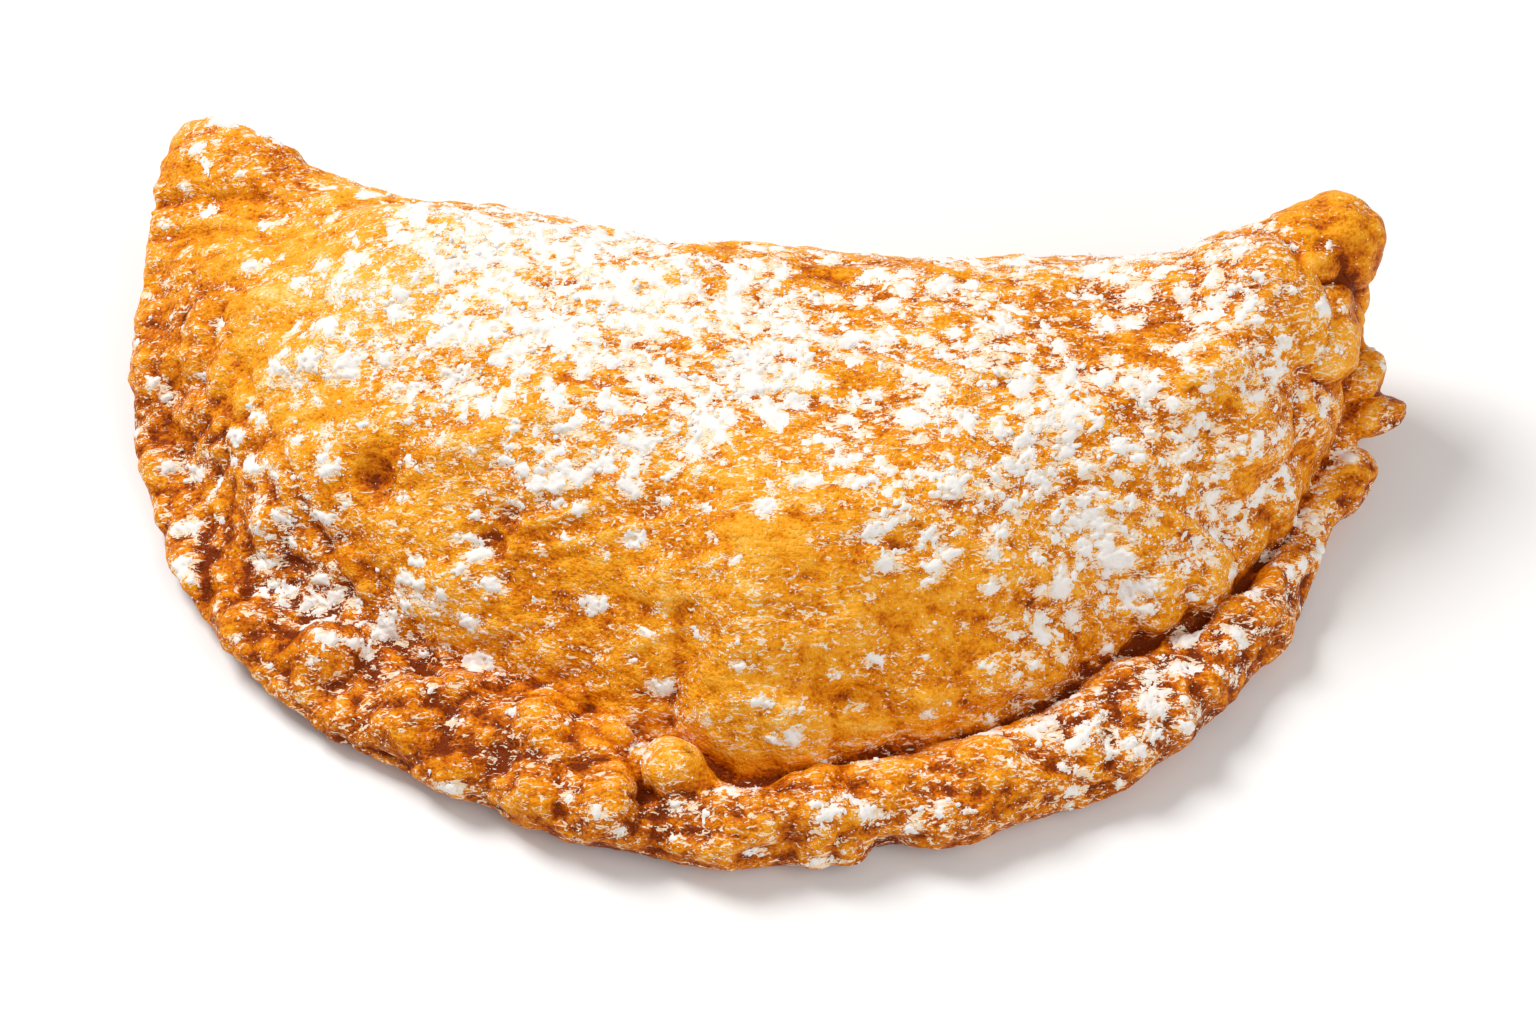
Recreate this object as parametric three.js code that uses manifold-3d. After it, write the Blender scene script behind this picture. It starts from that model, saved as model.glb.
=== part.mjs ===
// A fried pie: a round of dough folded over its filling into a half moon, pressed shut along the curved edge,
// deep-fried until it puffs and blisters, and dusted with icing sugar. It is one solid, uncut, so nothing is
// hollow inside. Millimetres, +Z up, +X along the pie, -Y towards the pressed edge. The origin is under the
// middle of the pie's box, on the surface that it rests on.
import * as THREE from "three";
import { mergeVertices } from "three/addons/utils/BufferGeometryUtils.js";
import Module from "manifold-3d";

// The dough: a rolled round, folded a little behind its middle
const DOUGH_RADIUS = 82.7;
const DOUGH_CENTRE = [-3.2, 34];
const DOUGH_BULGES = [
  { deg: 201, height: 3, halfWidth: 27 },
  { deg: 244, height: -1.8, halfWidth: 9 },
  { deg: 283, height: -1.5, halfWidth: 9 },
  { deg: 318, height: 4, halfWidth: 34 },
];
const ARC_FROM_DEG = 181; // the round's free edge, from under the left tip
const ARC_TO_DEG = 341; // to under the right tip
const ARC_POINTS = 22;

// The tips, pulled back and up when the edge was pressed shut: a flat ear on the left, a knob on the right
const EAR_TIP = [-77.8, 59.4];
const KNOB_TIP = [77, 38];
const EAR_EDGE = [[-82.2, 59.4], [-84.8, 56.4], [-85.6, 50.5], [-87.2, 38]];
const KNOB_EDGE = [[80, 15], [81, 24], [80.5, 33]];
const FOLD_EDGE = [
  [-72.4, 56.4], [-60, 49.2], [-47, 47.2], [-30, 44.9], [-6, 40.4],
  [18, 37.7], [40, 38.4], [60, 37.8], [69, 38.5],
];
const TIPS = [
  { at: [-78, 56], reach: 52, lift: 15.5, flat: 46 },
  { at: [77, 36], reach: 38, lift: 12, flat: 14 },
];

// The body: heights, undercuts, and the fold's slope
const DOME_HEIGHT = 33.6;
const CROWN = 0.26; // how much of its height the dome loses by the ends of the round
const FOLD_SLOPE = 25; // from the fold to where the dome is level
const RIM_EDGE_HEIGHT = 3.6;
const FOLD_EDGE_HEIGHT = 10;
const RIM_UNDERCUT = 7;
const FOLD_UNDERCUT = 16;
const EDGE_ROUNDING = 4;
const SKIN_THICKNESS = 1.4; // of the dough that the relief is pressed into
const DEEPEST_GROOVE = 2; // below the edge's height
const PUFF_POWER = 2.6; // how full the dome's slope is
const FOLD_POWER = 0.7; // how much fuller it is over the fold

// The rim: how its section changes along the pressed edge, from the ear (0) to the knob (1)
const RIM = [
  { along: 0, width: 3, ridge: 0.3, slope: 46 },
  { along: 0.12, width: 4, ridge: 0.6, slope: 50 },
  { along: 0.22, width: 7, ridge: 1, slope: 52 },
  { along: 0.33, width: 16, ridge: 2, slope: 46 },
  { along: 0.44, width: 19, ridge: 3, slope: 40 },
  { along: 0.495, width: 18, ridge: 3.8, slope: 38 },
  { along: 0.54, width: 12, ridge: 4.8, slope: 38 },
  { along: 0.63, width: 14.5, ridge: 5, slope: 36 },
  { along: 0.74, width: 16, ridge: 5.2, slope: 34 },
  { along: 0.82, width: 9, ridge: 4.4, slope: 30 },
  { along: 0.88, width: 5, ridge: 2.4, slope: 22 },
  { along: 0.93, width: 2.4, ridge: 0.6, slope: 18 },
  { along: 1, width: 2, ridge: 0.3, slope: 18 },
];
const CREASE_FROM = 0.62; // of the rim's width: where the roll starts to fall into the crease
const DOME_FOOT = 0.92; // of the rim's width: where the dome starts to rise out of it
const RAGGED_RIM = 1.1;
const RAGGED_FOLD = 0.3;
const RAGGED_COLUMNS = 2; // columns of points to one tooth of a ragged edge
const STEADY_SHARE = 0.05; // of an edge's length, next to a tip, where it isn't ragged
const NOTCHES = [[0.5, 2, 3.5], [0.6, 2.2, 3.5], [0.868, 3.4, 3.5]]; // place along, depth, half-width

// Crimps: slanting grooves pressed across the rim at an uneven pitch, and pleats across the ear
const CRIMP_PITCH = 13;
const CRIMP_DEPTH = 1;
const CRIMP_HALF_WIDTH = 2.6;
const CRIMP_SLANT = 0.55;
const CRIMP_UNEVEN = { share: 0.35, length: 21 }; // how far the pitch wanders, and over what length
const TUCK = { along: 0.505, depth: 2.6, halfWidth: 2.4 }; // where the left rim slips under the right
const PLEATS = [[-74, 44.3, 2.6], [-74.5, 39.5, 2], [-75, 32.8, 1.3], [-75, 26, 0.9]]; // x, y, depth
const PLEAT_LENGTH = 15;
const PLEAT_STEEP_SIDE = 1.8;
const PLEAT_LONG_SIDE = 3.4;
const PLEAT_LEAN = -0.3;

// Relief of the fried skin: bubbles along the rim, swellings where the dome is gathered below the knob, and
// hollows in the dome (x, y, radius, height or depth)
const BUBBLES = [
  [-12, -37, 5.4, 3], [-27, -34, 4.2, 1.8], [-47, -28, 4.8, 2], [-57, -17, 5.2, 2], [-36, -36, 4.2, 1.6],
];
const SWELLINGS = [[63, 27, 7.5, 2.8], [66.5, 18.5, 7.5, 3], [61, 9, 8, 2.6]];
const HOLLOWS = [[-50, 0, 6, 1.8], [-36, -7, 4.5, 1.6], [-66, 22, 7, 1.6], [10, 8, 16, 1]];
const SMALL_BUBBLES = {
  count: 48,
  along: [0.12, 0.95],
  fromEdge: [3, 22],
  crowding: 1.6, // towards the edge
  radius: [2.6, 4.4],
  steepness: [0.1, 0.24], // height to radius
};
const WAVES = [{ height: 1.1, length: 13, width: 9 }, { height: 0.35, length: 6, width: 5 }];
const SEED = 7;

// Fused on: the knob, its neck, the throat below it, the fold under it, and the ragged scraps of rim (each by
// its height above the edge)
const LUMPS = [
  { at: [75.2, 31.2], above: 12.2, half: [7, 6.6, 6.9], turn: 0 },
  { at: [69, 28.6], above: 13, half: [8.4, 6.6, 6.4], turn: 15 },
  { at: [71.6, 22.5], above: 7.4, half: [7.8, 8.6, 9.2], turn: 0 },
  { at: [74.6, 30], above: 3, half: [6.6, 7.4, 8], turn: 0 },
  { at: [79, 28.5], above: 0, half: [2.6, 2, 2.2], turn: 0 },
  { at: [79.6, 22.4], above: 0, half: [5.4, 3.4, 3], turn: 40 },
  { at: [82.4, 18], above: -0.6, half: [4.8, 2.7, 2.6], turn: 25 },
  { at: [76.5, 8], above: 0, half: [8.4, 3.8, 3.6], turn: 50 },
  { at: [72, 2], above: 0, half: [4.4, 3.4, 3.2], turn: 65 },
];
const LUMP_FACET = 1.9; // the longest edge of a lump's facets, or near it
const LUMP_UNEVEN = 0.12;
const LUMP_GRAIN = 2.1; // swellings to a lump's half-length

// Mesh density: columns run along the pie, and steps cross it from the pressed edge to the fold
const COLUMNS = 116;
const TOP_STEPS = {
  front: [0.03, 0.08, 0.16, 0.25, 0.36, 0.47, 0.58, 0.7, 0.81, 0.92, 1.04, 1.2, 1.4], // of the rim's width
  middle: 12,
  back: [9, 4.6, 1.8, 0.5], // from the fold
};
const UNDER_STEPS = { front: [0.08, 0.25, 0.6], middle: 2, back: [14, 7, 2] };
const FULL_STEPS_LENGTH = 50; // where the pie is narrower, the steps shrink with it
const MOST_STRETCH = 1.6; // of the steps on columns that leave the edge at a slant
const MOST_FRONT = 0.6; // of a column's length that the front steps may take
const MOST_SETBACK = 0.25; // of the rim's width that the steps may shift to allow for the ragged edge
const LATTICE_ROW = 1000; // seeds to a row of the noise lattice
const TINY = 0.01; // keeps shares defined at the tips, where both edges meet
const WELD = 1e-4;

const clamp = THREE.MathUtils.clamp;
const mix = THREE.MathUtils.lerp;
const smooth = THREE.MathUtils.smoothstep;
const bell = (u) => Math.exp(-(u ** 2));

// A quarter-round: 0 and upright at 0, 1 and level at 1.
const quarterRound = (u) => Math.sqrt(1 - (1 - clamp(u, 0, 1)) ** 2);

// The puffed dome's slope: steep at its foot, nearly level on top, and fuller over the fold.
const puff = (u) => 1 - (1 - clamp(u, 0, 1)) ** PUFF_POWER;
const foldPuff = (u) => puff(u) ** FOLD_POWER;

// A cap of a given radius: 1 in its middle, 0 at its edge.
const cap = (distance, radius) => (distance < radius ? 1 - (distance / radius) ** 2 : 0);

// A number from 0 to 1 for each point of a whole-number lattice, always the same for the same point.
const latticeValue = (i, j) => THREE.MathUtils.seededRandom(SEED + LATTICE_ROW * j + i);

// Smooth noise from -1 to 1, with lumps about one unit across.
function noise(x, y) {
  const i = Math.floor(x);
  const j = Math.floor(y);
  const u = smooth(x - i, 0, 1);
  const v = smooth(y - j, 0, 1);
  const low = mix(latticeValue(i, j), latticeValue(i + 1, j), u);
  const high = mix(latticeValue(i, j + 1), latticeValue(i + 1, j + 1), u);
  return 2 * mix(low, high, v) - 1;
}

// The outline in plan: the free edge of the round with both tips, then the fold
const flatPoint = ([x, y]) => new THREE.Vector3(x, y, 0);

function pressedEdge() {
  const points = [EAR_TIP, ...EAR_EDGE].map(flatPoint);
  for (let i = 0; i < ARC_POINTS; i++) {
    const deg = mix(ARC_FROM_DEG, ARC_TO_DEG, i / (ARC_POINTS - 1));
    let reach = DOUGH_RADIUS;
    for (const bulge of DOUGH_BULGES) reach += bulge.height * bell((deg - bulge.deg) / bulge.halfWidth);
    const angle = THREE.MathUtils.degToRad(deg);
    const [x, y] = DOUGH_CENTRE;
    points.push(flatPoint([x + reach * Math.cos(angle), y + reach * Math.sin(angle)]));
  }
  return new THREE.CatmullRomCurve3([...points, ...[...KNOB_EDGE, KNOB_TIP].map(flatPoint)]);
}

const pressed = pressedEdge();
const folded = new THREE.CatmullRomCurve3([EAR_TIP, ...FOLD_EDGE, KNOB_TIP].map(flatPoint));
const pressedLength = pressed.getLength();
const pressedLine = pressed.getSpacedPoints(COLUMNS);
const foldedLine = folded.getSpacedPoints(COLUMNS);
const pressedEdgeLine = raggedLine(pressedLine, pressedLength, RAGGED_RIM, NOTCHES);
const foldedEdgeLine = raggedLine(foldedLine, folded.getLength(), RAGGED_FOLD, []);

// An edge's points, moved in and out of the round by a little noise and by notches, and steady at the tips.
function raggedLine(line, length, raggedness, notches) {
  const [x, y] = DOUGH_CENTRE;
  return line.map((p, i) => {
    const along = i / COLUMNS;
    let reach = raggedness * noise(i / RAGGED_COLUMNS, 0);
    for (const [at, depth, halfWidth] of notches) reach -= depth * bell(((along - at) * length) / halfWidth);
    const outward = new THREE.Vector2(p.x - x, p.y - y).normalize();
    return outward.multiplyScalar(reach * smooth(Math.min(along, 1 - along), 0, STEADY_SHARE)).add(p);
  });
}

// Distance in plan to a line of points, and how far along it the nearest place is, from 0 to 1.
function nearest(line, x, y) {
  let distance = Infinity;
  let along = 0;
  for (let i = 0; i < line.length - 1; i++) {
    const [a, b] = [line[i], line[i + 1]];
    const [dx, dy] = [b.x - a.x, b.y - a.y];
    const t = clamp(((x - a.x) * dx + (y - a.y) * dy) / (dx * dx + dy * dy), 0, 1);
    const gap = Math.hypot(x - a.x - t * dx, y - a.y - t * dy);
    if (gap < distance) {
      distance = gap;
      along = (i + t) / (line.length - 1);
    }
  }
  return { distance, along };
}

// The rim's section at a place along the pressed edge.
function rimAt(along) {
  const next = Math.max(1, RIM.findIndex((row) => row.along >= along));
  const [from, to] = [RIM[next - 1], RIM[next]];
  const share = smooth(along, from.along, to.along);
  const between = (key) => mix(from[key], to[key], share);
  return { width: between("width"), ridge: between("ridge"), slope: between("slope") };
}

const fromTip = (tip, x, y) => Math.hypot(x - tip.at[0], y - tip.at[1]);

function tipLift(x, y) {
  let lift = 0;
  for (const tip of TIPS) lift += tip.lift * smooth(1 - fromTip(tip, x, y) / tip.reach, 0, 1);
  return lift;
}

// How far the dome has risen out of the flat tips: 0 at a tip, 1 over the filling.
function tipFullness(x, y) {
  let fullness = 1;
  for (const tip of TIPS) fullness *= smooth(fromTip(tip, x, y), 0, tip.flat);
  return fullness;
}

// Where a place in plan lies between the pressed edge and the fold, and the edge's height there.
function placeOf(x, y) {
  const rim = nearest(pressedLine, x, y);
  const fold = nearest(foldedLine, x, y);
  const foldness = (rim.distance + TINY) / (rim.distance + fold.distance + 2 * TINY);
  const edge = mix(RIM_EDGE_HEIGHT, FOLD_EDGE_HEIGHT, smooth(foldness, 0, 1));
  return { rim, fold, edge, lift: tipLift(x, y) };
}

function crimpDepth({ along, distance }) {
  const place = along * pressedLength + CRIMP_SLANT * distance;
  const turns = place / CRIMP_PITCH + CRIMP_UNEVEN.share * noise(place / CRIMP_UNEVEN.length, 0);
  const fromGroove = (turns - Math.round(turns)) * CRIMP_PITCH;
  const fromTuck = place - TUCK.along * pressedLength;
  return CRIMP_DEPTH * bell(fromGroove / CRIMP_HALF_WIDTH) + TUCK.depth * bell(fromTuck / TUCK.halfWidth);
}

// Grooves across the ear, each with a steep side towards the front.
function pleatDepth(x, y) {
  let depth = 0;
  for (const [px, py, deep] of PLEATS) {
    const across = y - py - PLEAT_LEAN * (x - px);
    const side = across > 0 ? PLEAT_LONG_SIDE : PLEAT_STEEP_SIDE;
    depth += deep * bell(across / side) * bell(((x - px) / PLEAT_LENGTH) ** 2);
  }
  return depth;
}

// Seeded draw of the small bubbles, which crowd along the pressed edge.
function smallBubbles() {
  const { count, along, fromEdge, crowding, radius, steepness } = SMALL_BUBBLES;
  const random = () => THREE.MathUtils.seededRandom();
  THREE.MathUtils.seededRandom(SEED);
  return Array.from({ length: count }, () => {
    const on = pressed.getPointAt(mix(...along, random()));
    const [x, y] = DOUGH_CENTRE;
    const share = mix(...fromEdge, random() ** crowding) / DOUGH_RADIUS;
    const reach = mix(...radius, random());
    return [mix(on.x, x, share), mix(on.y, y, share), reach, reach * mix(...steepness, random())];
  });
}

const raised = [...BUBBLES, ...SWELLINGS, ...smallBubbles()];

function skinRelief(x, y) {
  let relief = 0;
  for (const { height, length, width } of WAVES) relief += height * noise(x / length, y / width);
  for (const [bx, by, radius, height] of raised) relief += height * cap(Math.hypot(x - bx, y - by), radius);
  for (const [hx, hy, radius, depth] of HOLLOWS) relief -= depth * bell(Math.hypot(x - hx, y - hy) / radius);
  return relief;
}

const edgeHeight = ({ edge, lift }) => edge + lift;

function topHeight(x, y) {
  const place = placeOf(x, y);
  const { rim, fold, edge } = place;
  const { width, ridge, slope } = rimAt(rim.along);
  const inRim = 1 - smooth(rim.distance, CREASE_FROM * width, width);
  const rounding = quarterRound(nearest(pressedEdgeLine, x, y).distance / EDGE_ROUNDING);
  const roll = ridge * rounding * inRim;
  const fromRim = puff((rim.distance - DOME_FOOT * width) / slope);
  const crown = 1 - CROWN * ((x - DOUGH_CENTRE[0]) / DOUGH_RADIUS) ** 2;
  const rise = crown * fromRim * foldPuff(fold.distance / FOLD_SLOPE) * tipFullness(x, y);
  const nearEdge = Math.min(rounding, quarterRound(fold.distance / EDGE_ROUNDING));
  const grooves = crimpDepth(rim) * inRim + pleatDepth(x, y);
  const skin = Math.max(-DEEPEST_GROOVE, SKIN_THICKNESS + skinRelief(x, y) - grooves);
  return edgeHeight(place) + roll + (DOME_HEIGHT - edge) * rise + nearEdge * skin;
}

function underHeight(x, y) {
  const { rim, fold, edge, lift } = placeOf(x, y);
  const open = quarterRound(rim.distance / RIM_UNDERCUT) * quarterRound(fold.distance / FOLD_UNDERCUT);
  return edge * (1 - open) + lift;
}

// Distances along a column, from the pressed edge, of one skin's inner points. The steps near the edge keep
// to the rim's width and soon leave the edge's raggedness, so that a row of points follows the crease.
function stepsAlong(i, length, { front, middle, back }) {
  const [before, after] = [pressedLine[i - 1], pressedLine[i + 1]];
  const [near, far] = [pressedEdgeLine[i], foldedEdgeLine[i]];
  const tangent = new THREE.Vector2(after.x - before.x, after.y - before.y).normalize();
  const heading = far.clone().sub(near).normalize();
  const stretch = Math.min(MOST_STRETCH, 1 / Math.abs(tangent.cross(heading)));
  const scale = Math.min(1, length / FULL_STEPS_LENGTH);
  const width = Math.min(rimAt(i / COLUMNS).width * stretch, (MOST_FRONT * length) / front.at(-1));
  const raggedness = new THREE.Vector2().copy(pressedLine[i]).sub(near).dot(heading);
  const setback = clamp(raggedness, -MOST_SETBACK * width, MOST_SETBACK * width);
  const rimSteps = front.map((share) => share * width + Math.min(1, 2 * share) * setback);
  const [from, to] = [rimSteps.at(-1), length - back[0] * scale];
  const between = Array.from({ length: middle }, (_, k) => mix(from, to, (k + 1) / (middle + 1)));
  return [...rimSteps, ...between, ...back.map((d) => length - d * scale)];
}

// One skin: columns of points lofted across the pie from the pressed edge to the fold, closing at both tips.
function addSkin(vertices, triangles, edges, { steps, height, upper }) {
  const turn = (a, b, c) => triangles.push(...(upper ? [a, b, c] : [a, c, b]));
  const point = (i) => new THREE.Vector3().fromArray(vertices, 3 * i);
  const quad = (a, b, c, d) => {
    const splitAC = point(a).distanceTo(point(c)) < point(b).distanceTo(point(d));
    turn(a, b, splitAC ? c : d);
    turn(splitAC ? a : b, c, d);
  };
  const column = (i) => {
    const [near, far] = [pressedEdgeLine[i], foldedEdgeLine[i]];
    const length = near.distanceTo(far);
    const inner = stepsAlong(i, length, steps).map((distance) => {
      const p = near.clone().lerp(far, distance / length);
      return vertices.push(p.x, p.y, height(p.x, p.y)) / 3 - 1;
    });
    return [edges.pressed[i], ...inner, edges.folded[i]];
  };
  const columns = Array.from({ length: COLUMNS - 1 }, (_, i) => column(i + 1));
  const crossings = columns[0].length - 1;
  for (let k = 0; k < crossings; k++) {
    turn(edges.pressed[0], columns[0][k], columns[0][k + 1]);
    for (let i = 0; i < columns.length - 1; i++) {
      quad(columns[i][k], columns[i + 1][k], columns[i + 1][k + 1], columns[i][k + 1]);
    }
    turn(columns.at(-1)[k], edges.pressed[COLUMNS], columns.at(-1)[k + 1]);
  }
}

function bodyGeometry() {
  const vertices = [];
  const addEdgePoint = (p) => vertices.push(p.x, p.y, edgeHeight(placeOf(p.x, p.y))) / 3 - 1;
  const edges = { pressed: pressedEdgeLine.map(addEdgePoint), folded: foldedEdgeLine.map(addEdgePoint) };
  const triangles = [];
  addSkin(vertices, triangles, edges, { steps: TOP_STEPS, height: topHeight, upper: true });
  addSkin(vertices, triangles, edges, { steps: UNDER_STEPS, height: underHeight, upper: false });
  const geometry = new THREE.BufferGeometry();
  geometry.setAttribute("position", new THREE.Float32BufferAttribute(vertices, 3));
  geometry.setIndex(triangles);
  return geometry;
}

// A knob or a ragged scrap of rim: an uneven ball stretched to its half-lengths.
function lumpGeometry({ at, above, half, turn }, index) {
  const geometry = new THREE.IcosahedronGeometry(1, Math.round(Math.max(...half) / LUMP_FACET) - 1);
  const position = geometry.getAttribute("position");
  const p = new THREE.Vector3();
  for (let i = 0; i < position.count; i++) {
    p.fromBufferAttribute(position, i);
    p.multiplyScalar(1 + LUMP_UNEVEN * noise(LUMP_GRAIN * p.x, LUMP_GRAIN * (p.y + p.z) + index));
    position.setXYZ(i, p.x * half[0], p.y * half[1], p.z * half[2]);
  }
  const height = edgeHeight(placeOf(...at)) + above;
  return geometry.rotateZ(THREE.MathUtils.degToRad(turn)).translate(...at, height);
}

const wasm = await Module();
wasm.setup();

function solidFrom(geometry) {
  const bare = geometry.clone();
  ["normal", "uv"].forEach((name) => bare.deleteAttribute(name));
  const merged = mergeVertices(bare, WELD);
  const vertProperties = merged.getAttribute("position").array;
  const triVerts = new Uint32Array(merged.index.array);
  return new wasm.Manifold(new wasm.Mesh({ numProp: 3, vertProperties, triVerts }));
}

function geometryFrom(solid) {
  const { vertProperties, triVerts } = solid.getMesh();
  const geometry = new THREE.BufferGeometry();
  geometry.setAttribute("position", new THREE.BufferAttribute(vertProperties, 3));
  geometry.setIndex(new THREE.BufferAttribute(triVerts, 1));
  return geometry;
}

function pieGeometry() {
  let solid = solidFrom(bodyGeometry());
  LUMPS.forEach((lump, i) => {
    solid = solid.add(solidFrom(lumpGeometry(lump, i)));
  });
  const geometry = geometryFrom(solid);
  geometry.computeBoundingBox();
  const { min, max } = geometry.boundingBox;
  geometry.translate(-(min.x + max.x) / 2, -(min.y + max.y) / 2, -min.z);
  geometry.computeVertexNormals();
  return geometry;
}

const crust = new THREE.MeshStandardMaterial({ color: 0xd98a2b, roughness: 0.6, metalness: 0 });
const pie = new THREE.Mesh(pieGeometry(), crust);
pie.name = "fried_pie";

const group = new THREE.Group();
group.add(pie);

export default group;
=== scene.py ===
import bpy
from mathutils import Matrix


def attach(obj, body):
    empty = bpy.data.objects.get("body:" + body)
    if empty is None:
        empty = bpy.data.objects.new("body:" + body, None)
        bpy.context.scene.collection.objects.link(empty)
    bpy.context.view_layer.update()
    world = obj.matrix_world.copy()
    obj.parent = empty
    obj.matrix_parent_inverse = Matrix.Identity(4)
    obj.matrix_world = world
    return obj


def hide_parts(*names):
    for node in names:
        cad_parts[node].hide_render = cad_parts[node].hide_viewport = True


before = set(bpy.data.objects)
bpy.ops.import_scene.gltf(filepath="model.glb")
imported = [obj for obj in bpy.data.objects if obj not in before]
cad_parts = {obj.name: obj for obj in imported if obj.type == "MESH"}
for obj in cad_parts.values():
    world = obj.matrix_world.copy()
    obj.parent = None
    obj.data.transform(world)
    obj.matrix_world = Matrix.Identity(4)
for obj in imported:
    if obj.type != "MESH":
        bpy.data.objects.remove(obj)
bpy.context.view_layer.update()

# A fried pie: a round of dough folded over its filling, pressed shut along the curved edge and deep-fried.
# The crust is golden and blistered, browner along its rim, darker in its creases by painted shade and paler
# on its crests by painted highlight, and dusted with icing sugar.
# Metres, +Z up, +X along the pie from its flat ear to its knob, -Y towards the pressed edge.
import itertools

import bpy
import numpy as np
from mathutils import Vector, kdtree

MM = 0.001

# Sizes and places below are in millimetres, as are the points that the relief is worked out on.
# Two limits are where something has not set in yet and where it has fully.

# The crust's mesh
WELD = 0.01  # gap across which the solid's loose triangles are joined
VOXEL = 0.56
UNDERSIDE_SLOPE = -0.6  # upward part of the normal, below which a point is on the hidden underside
FACES_KEPT = 0.69  # of the crust's faces in all, once the underside's are thinned

# Parts of the pie: limits along x, limits along y
LEFT_RIM = ((-10, -40), (20, 5))
EAR = ((-58, -72), (4, 16))
PINCHED_TIP = ((62, 66), (20, 25))
KNOB = ((66, 70), (14, 18))
KNOB_END = ((58, 70), (-8, 4))
IN_FRONT_OF_FOLD = (34, 20)  # along y
PAST_LEFT_CREASE = (-50, -20)  # along x
UPPER_SKIN = (-0.35, 0.25)  # of the upward part of the normal

# The rim: distances from the edge up to which all is rim, and beyond which none is
ROUND_CENTRE = np.array([-3.2, 30.4])  # of the round of dough, in plan
EDGE_DIRECTIONS = 120  # around that centre, in which the edge is looked for
RIM_WIDTH = (9, 17)
PRESSED_WIDTH = (15, 25)
# How the rim's width changes along the pie: place along x, share of the widths above
RIM_NARROWING = ((-50, -14, -4, 6, 24, 46, 56, 65, 75), (1.25, 1.1, 0.75, 0.75, 0.9, 1, 0.8, 0.5, 0.3))

# How far the solid's form is softened on the left rim, on all the rim and at the pinched tip: share, rounds
PRESSED = (0.85, 40)
ROLLED = (0.6, 12)
PINCHED = (0.9, 40)

# Creases are deepened by as much as they lie below an average of so many rounds
CREASE_ROUNDS = 40
CREASES_LOST_ON_RIM = 0.5
# The rim's crags: rounded hills with wandering creases between them, as size, height, seed
RIM_CRAGS = [(10, 1.8, 15), (6, 1.2, 16), (2.8, 0.2, 17)]
CRAGS_SUNK = 0.3  # of their height
CRAGS_LOST_ON_KNOB = 0.8
# Blisters raised by the frying: how many, radius from and to, height to radius from and to
RIM_BLISTERS = {"count": 170, "radius": (1.2, 4.4), "height": (0.14, 0.3), "seed": 3}
DOME_BLISTERS = {"count": 620, "radius": (1, 3.6), "height": (0.06, 0.16), "seed": 5}
BLISTER_CROWDING = 2.2  # the higher, the more of them are small
# Swellings that stand out, along the left crease, the left rim, the dome's foot, below the knob, on the knob
# and at the ear's tip: place in plan, radius, height
SWELLINGS = [
    ((-40.5, -29.2), 4.4, 1.7),
    ((-36.4, -34.5), 4.8, 2.1),
    ((-29, -35.5), 4.4, 1.7),
    ((-26.8, -31.5), 4, 1.6),
    ((-21.5, -36.6), 4.2, 1.6),
    ((-13.1, -41.2), 5.2, 1.6),
    ((-66.1, -18.7), 5.4, 1.6),
    ((-57.6, -23.6), 5, 1.7),
    ((-46, -35), 5.2, 1.6),
    ((-31.4, -45.3), 5.2, 1.5),
    ((-21.2, -46.8), 5.4, 1.5),
    ((-29.5, -27.1), 5, 1),
    ((-19, -31.4), 5, 1),
    ((-8.7, -36.5), 5, 1),
    ((4.1, -38.6), 5.5, 1.3),
    ((12, -36.8), 5, 1.3),
    ((20, -34), 5.5, 1.2),
    ((29, -31), 5.5, 1.2),
    ((10, -31.6), 6, 1),
    ((35.7, -28.1), 5.6, 1.5),
    ((43.8, -22.4), 5.2, 1.5),
    ((51.1, -18.6), 5.6, 1.5),
    ((57, -15.8), 5.6, 1.7),
    ((62.8, -9), 5, 1.4),
    ((67.8, -2.3), 5, 1.2),
    ((63.5, -1.5), 8, 1.4),
    ((72.3, 7.3), 6.5, 1.8),
    ((74.3, 12.3), 6, 2),
    ((72.6, 16.1), 6.5, 1.8),
    ((75.2, 27), 7.5, 1),
    ((-79.5, 54), 5, 1.5),
]
# Dents in the skin: place, radius, depth
DENTS = [((-50.9, -5.7), 3.4, 1.1), ((-35.8, -15.4), 2.8, 1.3), ((-33.5, -13.6), 2.2, 0.8)]
# Grooves in the skin: points in plan, depth at the first of them. Four pleats cross the ear from its edge,
# and the left rim's crease runs up beside it, with the edge of a small flap
GROOVES = [
    ([(-84.5, 43.6), (-71, 40), (-62, 38)], 0.75),
    ([(-85, 38.4), (-74, 35.8), (-66, 33)], 0.6),
    ([(-85.5, 33.6), (-71, 30.2)], 0.4),
    ([(-85, 25.5), (-65, 18.5)], 0.3),
    ([(-42.4, -28.8), (-52.2, -18.4), (-60.6, -7.5), (-67.2, 6.9), (-72.9, 20.2), (-74, 26)], 0.5),
    ([(-68.1, 7.8), (-75.8, 6.7)], 0.7),
]
GROOVE_HALF_WIDTH = 0.75
GROOVE_FADING = 3  # the higher, the nearer to its end a groove fades
# The skin's finer relief: size of its lumps, height, seed
WRINKLES = ((15, 2.7, 9), 0.36, 11)
SWELLS = ((10, 6, 6), 0.7, 12)
FRAYED_EDGE = (1.9, 0.5, 13)
CRISP = (1.6, 0.22, 14)
SKIN_SMOOTHING = 0.4

# Fine and wide relief, which the painted crease shade, the painted crest highlight and the sugar follow:
# rounds of averaging, height that counts as 1
FINE_RELIEF = (7, 0.28)
WIDE_RELIEF = (36, 1.1)
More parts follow.
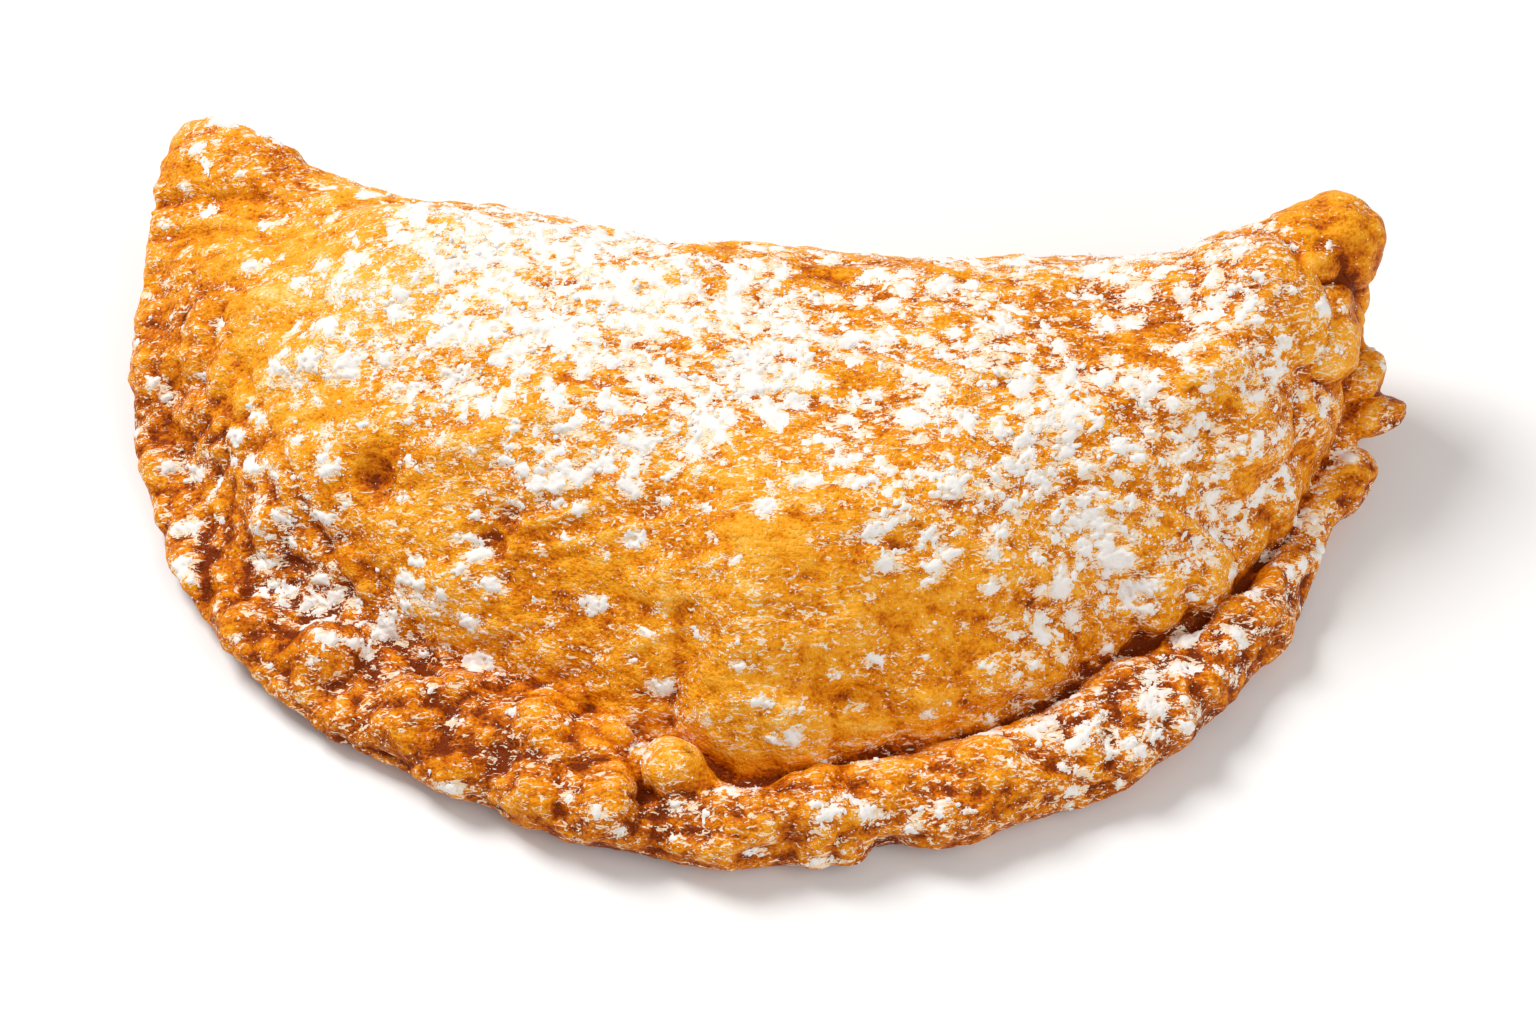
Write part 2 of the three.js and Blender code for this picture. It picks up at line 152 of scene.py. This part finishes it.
# Browning and painted shade, higher for darker: the amounts that add up, where the fine and wide amounts are
# painted shade in creases, and how far crests are paler, a painted highlight
BROWNING_AND_SHADE = {"everywhere": 0.425, "rim": 0.2, "underneath": 0.12, "fine": 0.2, "wide": 0.25}
FINE_CREST_HIGHLIGHT = -0.4
WIDE_CREST_HIGHLIGHT = -0.6
WIDE_LOST_ON_EAR = 0.7
WIDE_LOST_ON_RIM = 0.2
BROWN_PATCHES = [((15, 5, 6), 0.1, 41), (2.6, 0.05, 42)]  # size, amount, seed
# Where the dough is darker or paler than that: place in plan, radius, amount
BROWNED_AND_SHADED = [
    ((-79, 17), 12, -0.06),
    # Painted shade in the two dents
    ((-50.9, -5.7), 4.5, 0.1),
    ((-35.5, -15), 3.6, 0.15),
    ((-66, 45), 6, 0.26),
    ((75.5, 26), 8, 0.04),
    # Painted shadow in the crease under the knob
    ((75.5, 19.2), 2.6, 0.3),
    ((-60, 18), 20, -0.2),
    ((-36, 12), 26, -0.05),
    ((5, -26), 30, -0.07),
    ((46, 16), 16, 0.05),
]

# Icing sugar: place in plan, spread along x and y, how thickly it fell there
SUGAR_HEAPS = [
    ((-33, 16), (24, 16), 0.95),
    ((-9, 5), (18, 15), 0.85),
    ((32, 4), (44, 26), 0.27),
    ((36, -19), (26, 10), 0.13),
    ((-46, 4), (16, 13), 0.1),
    ((-18, -7), (20, 8), 0.2),
    ((-66, 6), (6, 14), 0.09),
    ((-62, -12), (8, 8), 0.13),
    ((-50, -23), (9, 6), 0.12),
    ((40, -35), (15, 5), 0.34),
    ((57, -25), (6, 5), 0.25),
    ((10, -47), (17, 6), 0.13),
    ((-70, 46), (7, 8), 0.1),
]
SUGAR_ELSEWHERE = 0.022
SUGAR_SLOPES = (0.05, 0.5)  # upward parts of the normal on which none stays, and all
SUGAR_CREASES = (-0.7, -0.15)  # wide relief in which none lands, and all
SUGAR_PATCHES = {"size": (8, 5, 6), "seed": 25}
PATCH_EDGES = (-0.4, 0.5)
BETWEEN_PATCHES = 0.45
SUGAR_LOST_ON_KNOB = 0.7
# Flakes of sugar, which lie along the pie to within a turn in radians
FLAKES = {"count": 2950, "half_length": (0.3, 2.1), "slimness": (0.4, 0.75), "seed": 21}
FLAKE_CROWDING = 2.8
FLAKE_TURN = 0.35
FLAKES_REACH = 1.5  # from a flake's edge to where there is no more dust from it
# How ragged the flakes' edges are, on the crust's mesh and on the sugar's finer one: size, depth, seed
FLAKE_EDGE = (1.5, 0.6, 22)
FINE_FLAKE_EDGES = [(0.8, 0.8, 51), (0.45, 0.7, 52)]
# The thin dust around and between them, in the same measure as depth inside a flake: the amounts that add up
DUST = {"everywhere": -0.74, "fallen": 0.6, "crests": 0.35, "rim_crests": 0.25, "knob": -0.5}
DUST_PATCHES = ((8, 2.5, 4), 0.9, 23)  # size, amount, seed
DUST_MOST = -0.5
# The layer of thick sugar: depth inside a flake from which faces are taken, depth from which they are kept,
# how it thickens inwards, and how far the layer's edge is sunk into the crust
LAYER_TAKEN = -0.4
LAYER_KEPT = 0.25
SUGAR_THICKENING = 0.3
SUGAR_THICKEST = 0.28
SUGAR_SUNK = 0.06
# Loose grains and clots: how many, radius from and to
GRAINS = {"count": 20000, "radius": (0.07, 0.19), "seed": 31}
CLOTS = {"count": 1000, "radius": (0.15, 0.42), "seed": 32}
GRAINS_ANYWHERE = 0.05
CLOTS_ANYWHERE = 0.02
# How they gather at the flakes' edges: depth inside a flake, spread, share elsewhere
GRAINS_GATHER = (-0.3, 0.5, 0.15)
CLOTS_GATHER = (0, 0.4, 0.2)
LUMP_CROWDING = 2
LUMP_SPREAD = 0.25
LUMP_LIFT = 0.15  # of the radius
LUMP_UNEVEN = (0.7, 1.3)

NOISE_CELLS = 1024  # after which the noise repeats


def select_only(piece):
    bpy.ops.object.select_all(action="DESELECT")
    bpy.context.view_layer.objects.active = piece
    piece.select_set(True)


def apply_modifier(piece, kind, **settings):
    """Adds a modifier to the piece and applies it."""
    select_only(piece)
    modifier = piece.modifiers.new(kind.lower(), kind)
    for name, value in settings.items():
        setattr(modifier, name, value)
    bpy.ops.object.modifier_apply(modifier=modifier.name)


def read(collection, name, width, kind=np.float32):
    """One value of every vertex, edge or face, as rows of an array."""
    values = np.empty(len(collection) * width, kind)
    collection.foreach_get(name, values)
    return values.reshape(-1, width)


def select_faces(piece, chosen):
    """Leaves the piece in edit mode with only the faces selected that have a chosen point."""
    select_only(piece)
    bpy.ops.object.mode_set(mode="EDIT")
    bpy.ops.mesh.select_mode(type="FACE")
    bpy.ops.mesh.select_all(action="DESELECT")
    bpy.ops.object.mode_set(mode="OBJECT")
    sizes = read(piece.data.polygons, "loop_total", 1, np.int32).ravel()
    corners = chosen[read(piece.data.loops, "vertex_index", 1, np.int32).ravel()]
    face_of = np.repeat(np.arange(len(sizes)), sizes)
    piece.data.polygons.foreach_set("select", np.bincount(face_of, corners) > 0)
    bpy.ops.object.mode_set(mode="EDIT")


def points_and_normals(mesh):
    """The mesh's points in millimetres, and its normals."""
    return read(mesh.vertices, "co", 3) / MM, read(mesh.vertex_normals, "vector", 3)


def move_points(mesh, points):
    mesh.vertices.foreach_set("co", (points * MM).astype(np.float32).ravel())
    mesh.update()


def give(mesh, name, values):
    mesh.attributes.new(name, "FLOAT", "POINT").data.foreach_set("value", values.astype(np.float32))


def step(low, high, x):
    """0 at low, 1 at high, smooth between."""
    t = np.clip((x - low) / (high - low), 0, 1)
    return t * t * (3 - 2 * t)


def within(points, along, across, share=1):
    """The share on a part of the pie, given by its limits, and 0 away from it."""
    return share * step(*along, points[:, 0]) * step(*across, points[:, 1])


def noise(points, size, seed):
    """Smooth noise from -1 to 1, with lumps about `size` across."""
    rng = np.random.default_rng(seed)
    order, values = rng.permutation(NOISE_CELLS), rng.uniform(-1, 1, NOISE_CELLS)
    grid = points / np.array(size)
    cell = np.floor(grid).astype(int)
    share = step(0, 1, grid - cell)
    total = np.zeros(len(points))
    for corner in itertools.product((0, 1), repeat=3):
        i, j, k = (cell + corner).T
        row = order[(order[i % NOISE_CELLS] + j) % NOISE_CELLS]
        value = values[(row + k) % NOISE_CELLS]
        total += value * np.prod(np.where(corner, share, 1 - share), axis=1)
    return total


def lumps(points, size, height, seed):
    """Smooth noise of a given height."""
    return height * noise(points, size, seed)


def blurred(values, edges, rounds):
    """Values averaged along the mesh's edges, over and over."""
    a, b = edges.T
    count = len(values)
    neighbours = np.bincount(a, minlength=count) + np.bincount(b, minlength=count)
    for _ in range(rounds):
        around = [np.bincount(a, v[b], count) + np.bincount(b, v[a], count) for v in values.T]
        values = 0.5 * values + 0.5 * np.stack(around, axis=1) / neighbours[:, None]
    return values


def soften(points, edges, share, rounds):
    """Moves the points, by a share of the way, to their average over their surroundings."""
    points += share[:, None] * (blurred(points, edges, rounds) - points)


def standing_out(points, normals, edges, rounds):
    """How far each point stands out of the surface averaged over its surroundings, below 0 in creases."""
    return np.sum((points - blurred(points, edges, rounds)) * normals, axis=1)


def rim_share(points, width):
    """1 on the pressed rim and 0 on the dome."""
    across = points[:, :2] - ROUND_CENTRE
    angle, reach = np.arctan2(across[:, 1], across[:, 0]), np.hypot(*across.T)
    place = ((angle + np.pi) / (2 * np.pi) * EDGE_DIRECTIONS).astype(int) % EDGE_DIRECTIONS
    edge = np.zeros(EDGE_DIRECTIONS)
    np.maximum.at(edge, place, reach)
    edge = np.maximum.reduce([edge, np.roll(edge, 1), np.roll(edge, -1)])
    inwards = (edge[place] - reach) / np.interp(points[:, 0], *RIM_NARROWING)
    return (1 - step(*width, inwards)) * step(*IN_FRONT_OF_FOLD, points[:, 1])


def tree_of(points):
    """A search tree of the points."""
    tree = kdtree.KDTree(len(points))
    for row, point in enumerate(points):
        tree.insert(point, row)
    tree.balance()
    return tree


def drawn_sizes(rng, span, crowding, count=None):
    """Sizes in a span, the more of them small the higher the crowding."""
    low, high = span
    return low + (high - low) * rng.random(count) ** crowding


def cap_heights(points, tree, caps):
    """Heights of rounded caps over the surface, each the highest of those that reach a point."""
    heights = np.zeros(len(points))
    for centre, radius, height in caps:
        found = tree.find_range(centre, radius)
        rows = np.array([row for _, row, _ in found], int)
        gaps = np.array([gap for _, _, gap in found])
        if len(rows):
            heights[rows] = np.maximum(heights[rows], height * (1 - (gaps / radius) ** 2))
    return heights


def scattered_caps(points, weight, count, radius, height, seed):
    """Caps at random points, the more of them where the weight is high."""
    rng = np.random.default_rng(seed)
    rows = rng.choice(len(points), count, p=weight / weight.sum())
    radii = drawn_sizes(rng, radius, BLISTER_CROWDING, count)
    return [(points[row], r, r * rng.uniform(*height)) for row, r in zip(rows, radii)]


def placed_caps(points, upward, caps):
    """Caps given by their places in plan, with their middles on the upper skin."""
    skin = points[upward > 0.5]
    nearest = [np.argmin(np.sum((skin[:, :2] - place) ** 2, axis=1)) for place, _, _ in caps]
    return [(skin[row], radius, height) for row, (_, radius, height) in zip(nearest, caps)]


def groove_depths(points):
    """Depths of the grooves, each fading out towards its last point."""
    depths = np.zeros(len(points))
    for path, depth in GROOVES:
        deepest = np.zeros(len(points))
        for i, (start, end) in enumerate(itertools.pairwise(path)):
            along = np.subtract(end, start)
            share = np.clip((points[:, :2] - start) @ along / (along @ along), 0, 1)
            gap = np.linalg.norm(points[:, :2] - start - share[:, None] * along, axis=1)
            fading = 1 - ((i + share) / (len(path) - 1)) ** GROOVE_FADING
            deepest = np.maximum(deepest, fading * np.exp(-((gap / GROOVE_HALF_WIDTH) ** 2)))
        depths += depth * deepest
    return depths


def sugar_fall(points, normals):
    """How thickly the sugar fell on each point."""
    fall = np.full(len(points), SUGAR_ELSEWHERE)
    for centre, spread, amount in SUGAR_HEAPS:
        away = np.sum(((points[:, :2] - centre) / spread) ** 2, axis=1)
        fall = np.maximum(fall, amount * np.exp(-(away**2)))
    return fall * step(*SUGAR_SLOPES, normals[:, 2])


def flake_cover(points, tree, fall, count, half_length, slimness, seed):
    """How deep each point is inside the edge of a flake of sugar, or below 0 outside."""
    rng = np.random.default_rng(seed)
    cover = np.full(len(points), -FLAKES_REACH)
    for row in rng.choice(len(points), count, p=fall / fall.sum()):
        length = drawn_sizes(rng, half_length, FLAKE_CROWDING)
        width = length * rng.uniform(*slimness)
        turn = rng.normal(0, FLAKE_TURN)
        reach = length * (1 + FLAKES_REACH / width)
        found = np.array([near for _, near, _ in tree.find_range(points[row], reach)])
        away = points[found] - points[row]
        along = away[:, :2] @ (np.cos(turn), np.sin(turn))
        across = np.sum(away**2, axis=1) - along**2
        inside = width * (1 - np.sqrt((along / length) ** 2 + across / width**2))
        cover[found] = np.maximum(cover[found], inside)
    return cover


def gathered(cover, depth, spread, elsewhere):
    """How thickly loose sugar gathers at a depth inside the flakes."""
    return elsewhere + np.exp(-(((cover - depth) / spread) ** 2))


def octahedron():
    """Points and triangles of an octahedron of radius 1."""
    corners = np.concatenate([np.eye(3), -np.eye(3)])
    faces = list(itertools.product((0, 3), (1, 4), (2, 5)))
    turned_over = [np.greater(face, 2).sum() % 2 for face in faces]
    return corners, np.array([face[::-1] if over else face for face, over in zip(faces, turned_over)])


def ball():
    """Points and triangles of a round lump of radius 1."""
    bpy.ops.object.select_all(action="DESELECT")
    bpy.ops.mesh.primitive_ico_sphere_add(subdivisions=1, radius=1)
    lump = bpy.context.object
    shape = read(lump.data.vertices, "co", 3), read(lump.data.polygons, "vertices", 3, np.int32)
    bpy.data.objects.remove(lump)
    return shape


def scattered_lumps(name, shape, points, normals, weight, count, radius, seed):
    """Small uneven lumps over the crust, each a copy of a shape's points, joined into one mesh."""
    rng = np.random.default_rng(seed)
    rows = rng.choice(len(points), count, p=weight / weight.sum())
    radii = drawn_sizes(rng, radius, LUMP_CROWDING, count)
    spread = rng.normal(0, LUMP_SPREAD, (count, 3))
    spread -= np.sum(spread * normals[rows], axis=1)[:, None] * normals[rows]
    centres = points[rows] + spread + LUMP_LIFT * radii[:, None] * normals[rows]
    corners, faces = shape
    uneven = rng.uniform(*LUMP_UNEVEN, (count, len(corners), 1)) * rng.uniform(*LUMP_UNEVEN, (count, 1, 3))
    vertices = centres[:, None] + radii[:, None, None] * corners * uneven
    triangles = faces + len(corners) * np.arange(count)[:, None, None]
    mesh = bpy.data.meshes.new(name)
    mesh.from_pydata(vertices.reshape(-1, 3) * MM, [], triangles.reshape(-1, 3).tolist())
    piece = bpy.data.objects.new(name, mesh)
    bpy.context.scene.collection.objects.link(piece)
    return piece


# The crust: the solid's own form, remeshed finely and softened at its rim and tip
crust = bpy.data.objects.new("crust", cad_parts["fried_pie"].data.copy())
bpy.context.scene.collection.objects.link(crust)
crust.data.materials.clear()
select_only(crust)
bpy.ops.object.mode_set(mode="EDIT")
bpy.ops.mesh.select_all(action="SELECT")
bpy.ops.mesh.remove_doubles(threshold=WELD * MM)
bpy.ops.object.mode_set(mode="OBJECT")
apply_modifier(crust, "REMESH", mode="VOXEL", voxel_size=VOXEL * MM)
apply_modifier(crust, "SMOOTH", factor=0.5, iterations=5)

points, normals = points_and_normals(crust.data)
edges = read(crust.data.edges, "vertices", 2, np.int32)
pressed = within(points, *LEFT_RIM, PRESSED[0] * rim_share(points, PRESSED_WIDTH))
rolled = ROLLED[0] * rim_share(points, RIM_WIDTH)
soften(points, edges, pressed, PRESSED[1])
soften(points, edges, rolled, ROLLED[1])
soften(points, edges, within(points, *PINCHED_TIP, PINCHED[0]), PINCHED[1])
move_points(crust.data, points)

# The relief of the fried skin
points, normals = points_and_normals(crust.data)
rim = rim_share(points, RIM_WIDTH)
upward = step(*UPPER_SKIN, normals[:, 2])
tree = tree_of(points)
craggy = rim * upward * (1 - CRAGS_LOST_ON_KNOB * within(points, *KNOB_END))

relief = np.minimum(standing_out(points, normals, edges, CREASE_ROUNDS), 0)
relief *= (1 - CREASES_LOST_ON_RIM * rim) * step(*PAST_LEFT_CREASE, points[:, 0])
for size, height, seed in RIM_CRAGS:
    relief += height * (np.abs(noise(points, size, seed)) - CRAGS_SUNK) * craggy
relief += cap_heights(points, tree, scattered_caps(points, craggy, **RIM_BLISTERS))
relief += cap_heights(points, tree, scattered_caps(points, (1 - rim) * upward, **DOME_BLISTERS))
relief += cap_heights(points, tree, placed_caps(points, upward, SWELLINGS))
relief -= cap_heights(points, tree, placed_caps(points, upward, DENTS))
relief -= groove_depths(points) * upward
size, height, seed = WRINKLES
relief += height * (1 - 2 * np.abs(noise(points, size, seed))) * (1 - rim) * upward
relief += lumps(points, *SWELLS) * upward
relief += lumps(points, *FRAYED_EDGE) * rim**2 * upward
relief += lumps(points, *CRISP)
move_points(crust.data, points + relief[:, None] * normals)
apply_modifier(crust, "SMOOTH", factor=SKIN_SMOOTHING, iterations=1)

# The dough is browner along the rim and darker on its steep and downward-facing skin; painted shade darkens
# its creases, and a painted highlight makes it paler where it stands out
points, normals = points_and_normals(crust.data)
fine = standing_out(points, normals, edges, FINE_RELIEF[0]) / FINE_RELIEF[1]
wide = standing_out(points, normals, edges, WIDE_RELIEF[0]) / WIDE_RELIEF[1]
brown_and_shade = BROWNING_AND_SHADE["everywhere"] + BROWNING_AND_SHADE["rim"] * rim + BROWNING_AND_SHADE["underneath"] * (1 - upward)
# Painted shade in the fine creases and a painted highlight on the fine crests
brown_and_shade += BROWNING_AND_SHADE["fine"] * np.clip(-fine, FINE_CREST_HIGHLIGHT, 1)
wide_share = (1 - WIDE_LOST_ON_EAR * within(points, *EAR)) * (1 - WIDE_LOST_ON_RIM * rim)
# Painted shade in the wide creases and a painted highlight on the wide crests, weaker on the ear and the rim
brown_and_shade += BROWNING_AND_SHADE["wide"] * np.clip(-wide, WIDE_CREST_HIGHLIGHT, 1) * wide_share
# Darker and paler spots; those in the two dents and under the knob are painted shade
for centre, radius, amount in BROWNED_AND_SHADED:
    gap = np.linalg.norm(points[:, :2] - centre, axis=1)
    brown_and_shade += amount * np.exp(-((gap / radius) ** 2)) * upward
for patches in BROWN_PATCHES:
    brown_and_shade += lumps(points, *patches)
give(crust.data, "browning_and_shade", brown_and_shade)

# Where the sugar fell: in flakes, with thin dust around and between them, and little on the knob
knob = within(points, *KNOB)
fall = sugar_fall(points, normals) * step(*SUGAR_CREASES, wide)
fall *= BETWEEN_PATCHES + step(*PATCH_EDGES, noise(points, **SUGAR_PATCHES))
fall *= 1 - SUGAR_LOST_ON_KNOB * knob
cover = flake_cover(points, tree_of(points), fall, **FLAKES)
cover += lumps(points, *FLAKE_EDGE)
dusting = DUST["everywhere"] + DUST["fallen"] * np.sqrt(fall) + lumps(points, *DUST_PATCHES)
dusting += (DUST["crests"] + DUST["rim_crests"] * rim) * np.clip(fine, -1, 1)
dusting += DUST["knob"] * knob
give(crust.data, "sugar", np.maximum(cover, np.minimum(dusting, DUST_MOST)))

# The sugar that lies thick: the crust's own faces there, taken off, made finer and lifted into a thin layer
select_faces(crust, cover > LAYER_TAKEN)
bpy.ops.mesh.duplicate()
bpy.ops.mesh.separate(type="SELECTED")
bpy.ops.object.mode_set(mode="OBJECT")
sugar = next(o for o in bpy.context.selected_objects if o is not crust)
sugar.name = "icing_sugar"
apply_modifier(sugar, "SUBSURF", levels=1, render_levels=1)
sugar_points, sugar_normals = points_and_normals(sugar.data)
depth = read(sugar.data.attributes["sugar"].data, "value", 1).ravel()
for ragged in FINE_FLAKE_EDGES:
    depth = depth + lumps(sugar_points, *ragged)
thick = depth > LAYER_KEPT
lift = np.where(thick, np.minimum(SUGAR_THICKENING * depth, SUGAR_THICKEST), -SUGAR_SUNK)
move_points(sugar.data, sugar_points + lift[:, None] * sugar_normals)
select_faces(sugar, thick)
bpy.ops.mesh.select_all(action="INVERT")
bpy.ops.mesh.delete(type="FACE")
bpy.ops.object.mode_set(mode="OBJECT")

# Loose grains and clots of sugar, on and beside the flakes
settled = step(*SUGAR_SLOPES, normals[:, 2])
grain_weight = settled * (GRAINS_ANYWHERE + np.sqrt(fall)) * gathered(cover, *GRAINS_GATHER)
clot_weight = settled * (CLOTS_ANYWHERE + fall) * gathered(cover, *CLOTS_GATHER)
grains = scattered_lumps("sugar_grains", octahedron(), points, normals, grain_weight, **GRAINS)
clots = scattered_lumps("sugar_clots", ball(), points, normals, clot_weight, **CLOTS)

# The hidden underside, which is nearly flat, keeps fewer faces than the skin that shows
underside = crust.vertex_groups.new(name="underside")
underside.add(np.flatnonzero(normals[:, 2] < UNDERSIDE_SLOPE).tolist(), 1, "REPLACE")
apply_modifier(crust, "DECIMATE", ratio=FACES_KEPT, vertex_group=underside.name)


def linear(colour):
    """A colour given as sRGB hex, for a shader."""
    parts = [int(colour[i : i + 2], 16) / 255 for i in (1, 3, 5)]
    return (*[p / 12.92 if p <= 0.04045 else ((p + 0.055) / 1.055) ** 2.4 for p in parts], 1)


def put(tree, kind, settings=(), inputs=()):
    """Adds a shader node with its settings, and gives its inputs values or links."""
    node = tree.nodes.new(kind)
    for name, value in dict(settings).items():
        setattr(node, name, value)
    for name, value in dict(inputs).items():
        if isinstance(value, bpy.types.NodeSocket):
            tree.links.new(value, node.inputs[name])
        else:
            node.inputs[name].default_value = value
    return node


def new_material(name):
    material = bpy.data.materials.new(name)
    material.use_nodes = True
    material.node_tree.nodes.clear()
    return material


def fried_dough():
    """Wheat dough fried in oil: flaky and barely glossy, golden with a painted highlight on its blisters and
    darker with painted shade in its creases.
    """
    material = new_material("fried_dough")
    tree = material.node_tree
    place = put(tree, "ShaderNodeTexCoord").outputs["Object"]
    # The dough's tone, with painted shade in its creases and a painted highlight on its crests
    brown_and_shade = put(tree, "ShaderNodeAttribute", {"attribute_name": "browning_and_shade"}).outputs["Fac"]
    sugar = put(tree, "ShaderNodeAttribute", {"attribute_name": "sugar"}).outputs["Fac"]
    added = {"operation": "MULTIPLY_ADD"}

    # Flaky streaks of about 1.5 mm, drawn out to 3.4 mm along the pie, and a crisp grain of 0.5 mm
    stretch = put(tree, "ShaderNodeVectorMath", {"operation": "MULTIPLY"}, {0: place, 1: (0.45, 1, 1)})
    drawn_out = stretch.outputs[0]
    streaks = put(tree, "ShaderNodeTexNoise", (), {
        "Vector": drawn_out, "Scale": 1 / (1.54 * MM), "Detail": 4, "Roughness": 0.65,
    }).outputs["Fac"]
    grain = put(tree, "ShaderNodeTexNoise", (), {
        "Vector": place, "Scale": 1 / (0.5 * MM), "Detail": 1, "Roughness": 0.6,
    }).outputs["Fac"]
    streaked = put(tree, "ShaderNodeMath", added, {0: streaks, 1: 0.8, 2: brown_and_shade}).outputs[0]
    grained = put(tree, "ShaderNodeMath", added, {0: grain, 1: 0.5, 2: streaked}).outputs[0]
    tone = put(tree, "ShaderNodeMapRange", (), {"Value": grained, "From Min": 0.605, "From Max": 1.405})
    ramp = put(tree, "ShaderNodeValToRGB", (), {"Fac": tone.outputs[0]})
    stops = [
        (0, "#ffd688"),
        (0.24, "#ffb439"),
        (0.45, "#f7a01b"),
        (0.62, "#e38205"),
        (0.8, "#bd5a00"),
        (1, "#7a2d00"),
    ]
    while len(ramp.color_ramp.elements) < len(stops):
        ramp.color_ramp.elements.new(0.5)
    for element, (at, colour) in zip(ramp.color_ramp.elements, stops):
        element.position, element.color = at, linear(colour)

    # The thin dust of sugar, as specks of about 0.6 by 1.4 mm. The powder itself is too fine to show, so the
    # specks are drawn coarser
    specks = put(tree, "ShaderNodeTexNoise", (), {
        "Vector": drawn_out, "Scale": 1 / (0.625 * MM), "Detail": 2, "Roughness": 0.7, "Distortion": 1,
    }).outputs["Fac"]
    dusted = put(tree, "ShaderNodeMath", added, {0: sugar, 1: 0.2, 2: specks}).outputs[0]
    dust = put(tree, "ShaderNodeMapRange", (), {
        "Value": dusted, "From Min": 0.45, "From Max": 0.5, "To Max": 0.9,
    }).outputs[0]
    colour = put(tree, "ShaderNodeMix", {"data_type": "RGBA"}, {
        0: dust, 6: ramp.outputs["Color"], 7: linear("#ffe9c9"),
    })
    rough = put(tree, "ShaderNodeMapRange", (), {"Value": dust, "To Min": 0.45, "To Max": 0.9})
    height = put(tree, "ShaderNodeMath", added, {0: grain, 1: 0.5, 2: streaks})
    bump = put(tree, "ShaderNodeBump", (), {
        "Height": height.outputs[0], "Strength": 1, "Distance": 0.7 * MM,
    })
    shader = put(tree, "ShaderNodeBsdfPrincipled", (), {
        "Base Color": colour.outputs[2],
        "Roughness": rough.outputs[0],
        "IOR": 1.47,
        "Specular IOR Level": 0.1,
        "Normal": bump.outputs[0],
    })
    put(tree, "ShaderNodeOutputMaterial", (), {"Surface": shader.outputs[0]})
    return material


def icing_sugar():
    """Icing sugar: a milled powder, matte and white, drawn coarser, in lumps of about 0.4 mm that show."""
    material = new_material("icing_sugar")
    tree = material.node_tree
    place = put(tree, "ShaderNodeTexCoord").outputs["Object"]
    powder = put(tree, "ShaderNodeTexNoise", (), {"Vector": place, "Scale": 1 / (0.385 * MM), "Detail": 2})
    bump = put(tree, "ShaderNodeBump", (), {
        "Height": powder.outputs["Fac"], "Strength": 0.5, "Distance": 0.2 * MM,
    })
    shader = put(tree, "ShaderNodeBsdfPrincipled", (), {
        "Base Color": linear("#f4eee8"),
        "Roughness": 0.9,
        "IOR": 1.5,
        "Specular IOR Level": 0.2,
        "Normal": bump.outputs[0],
    })
    put(tree, "ShaderNodeOutputMaterial", (), {"Surface": shader.outputs[0]})
    return material


def studio_white():
    """Matte white paint of the board: plain and pale."""
    material = new_material("studio_white")
    tree = material.node_tree
    shader = put(tree, "ShaderNodeBsdfPrincipled", (), {"Base Color": linear("#f6f5f3"), "Roughness": 0.7})
    put(tree, "ShaderNodeOutputMaterial", (), {"Surface": shader.outputs[0]})
    return material


crust.data.materials.append(fried_dough())
white = icing_sugar()
for piece in (sugar, grains, clots):
    piece.data.materials.clear()
    piece.data.materials.append(white)
for piece in (crust, sugar, grains, clots):
    select_only(piece)
    bpy.ops.object.shade_smooth()
    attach(piece, "root")
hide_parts("fried_pie")

# The studio: a white board, the camera, and soft light from behind on the left and the front on the right
BOARD_SIZE = 6
TARGET = Vector((0, -4.8, 12)) * MM
ELEVATION = np.radians(55)
DISTANCE = 463 * MM
LENS = 82
# Name, place, size and power
LIGHTS = [
    ("key", (-0.45, 0.35, 0.75), 0.36, 7.3),
    ("fill", (0.5, -0.45, 0.6), 0.8, 3.45),
]
AMBIENT = 0.35


def aim(looker, along):
    """Turns a camera or a lamp to look along a direction."""
    looker.rotation_mode = "QUATERNION"
    looker.rotation_quaternion = along.to_track_quat("-Z", "Y")
    bpy.context.scene.collection.objects.link(looker)


bpy.ops.object.select_all(action="DESELECT")
bpy.ops.mesh.primitive_plane_add(size=BOARD_SIZE)
board = bpy.context.object
board.name = "board"
board.data.materials.append(studio_white())

camera = bpy.data.objects.new("camera", bpy.data.cameras.new("camera"))
back = Vector((0, -np.cos(ELEVATION), np.sin(ELEVATION)))
camera.location = TARGET + DISTANCE * back
aim(camera, -back)
camera.data.lens = LENS
camera.data.clip_start = 0.01
bpy.context.scene.camera = camera

for name, place, size, power in LIGHTS:
    light = bpy.data.lights.new(name, "AREA")
    light.size, light.energy = size, power
    lamp = bpy.data.objects.new(name, light)
    lamp.location = place
    aim(lamp, TARGET - lamp.location)

world = bpy.data.worlds.new("studio")
bpy.context.scene.world = world
world.use_nodes = True
background = world.node_tree.nodes["Background"]
background.inputs["Color"].default_value = (1, 1, 1, 1)
background.inputs["Strength"].default_value = AMBIENT
bpy.context.scene.view_settings.view_transform = "Standard"
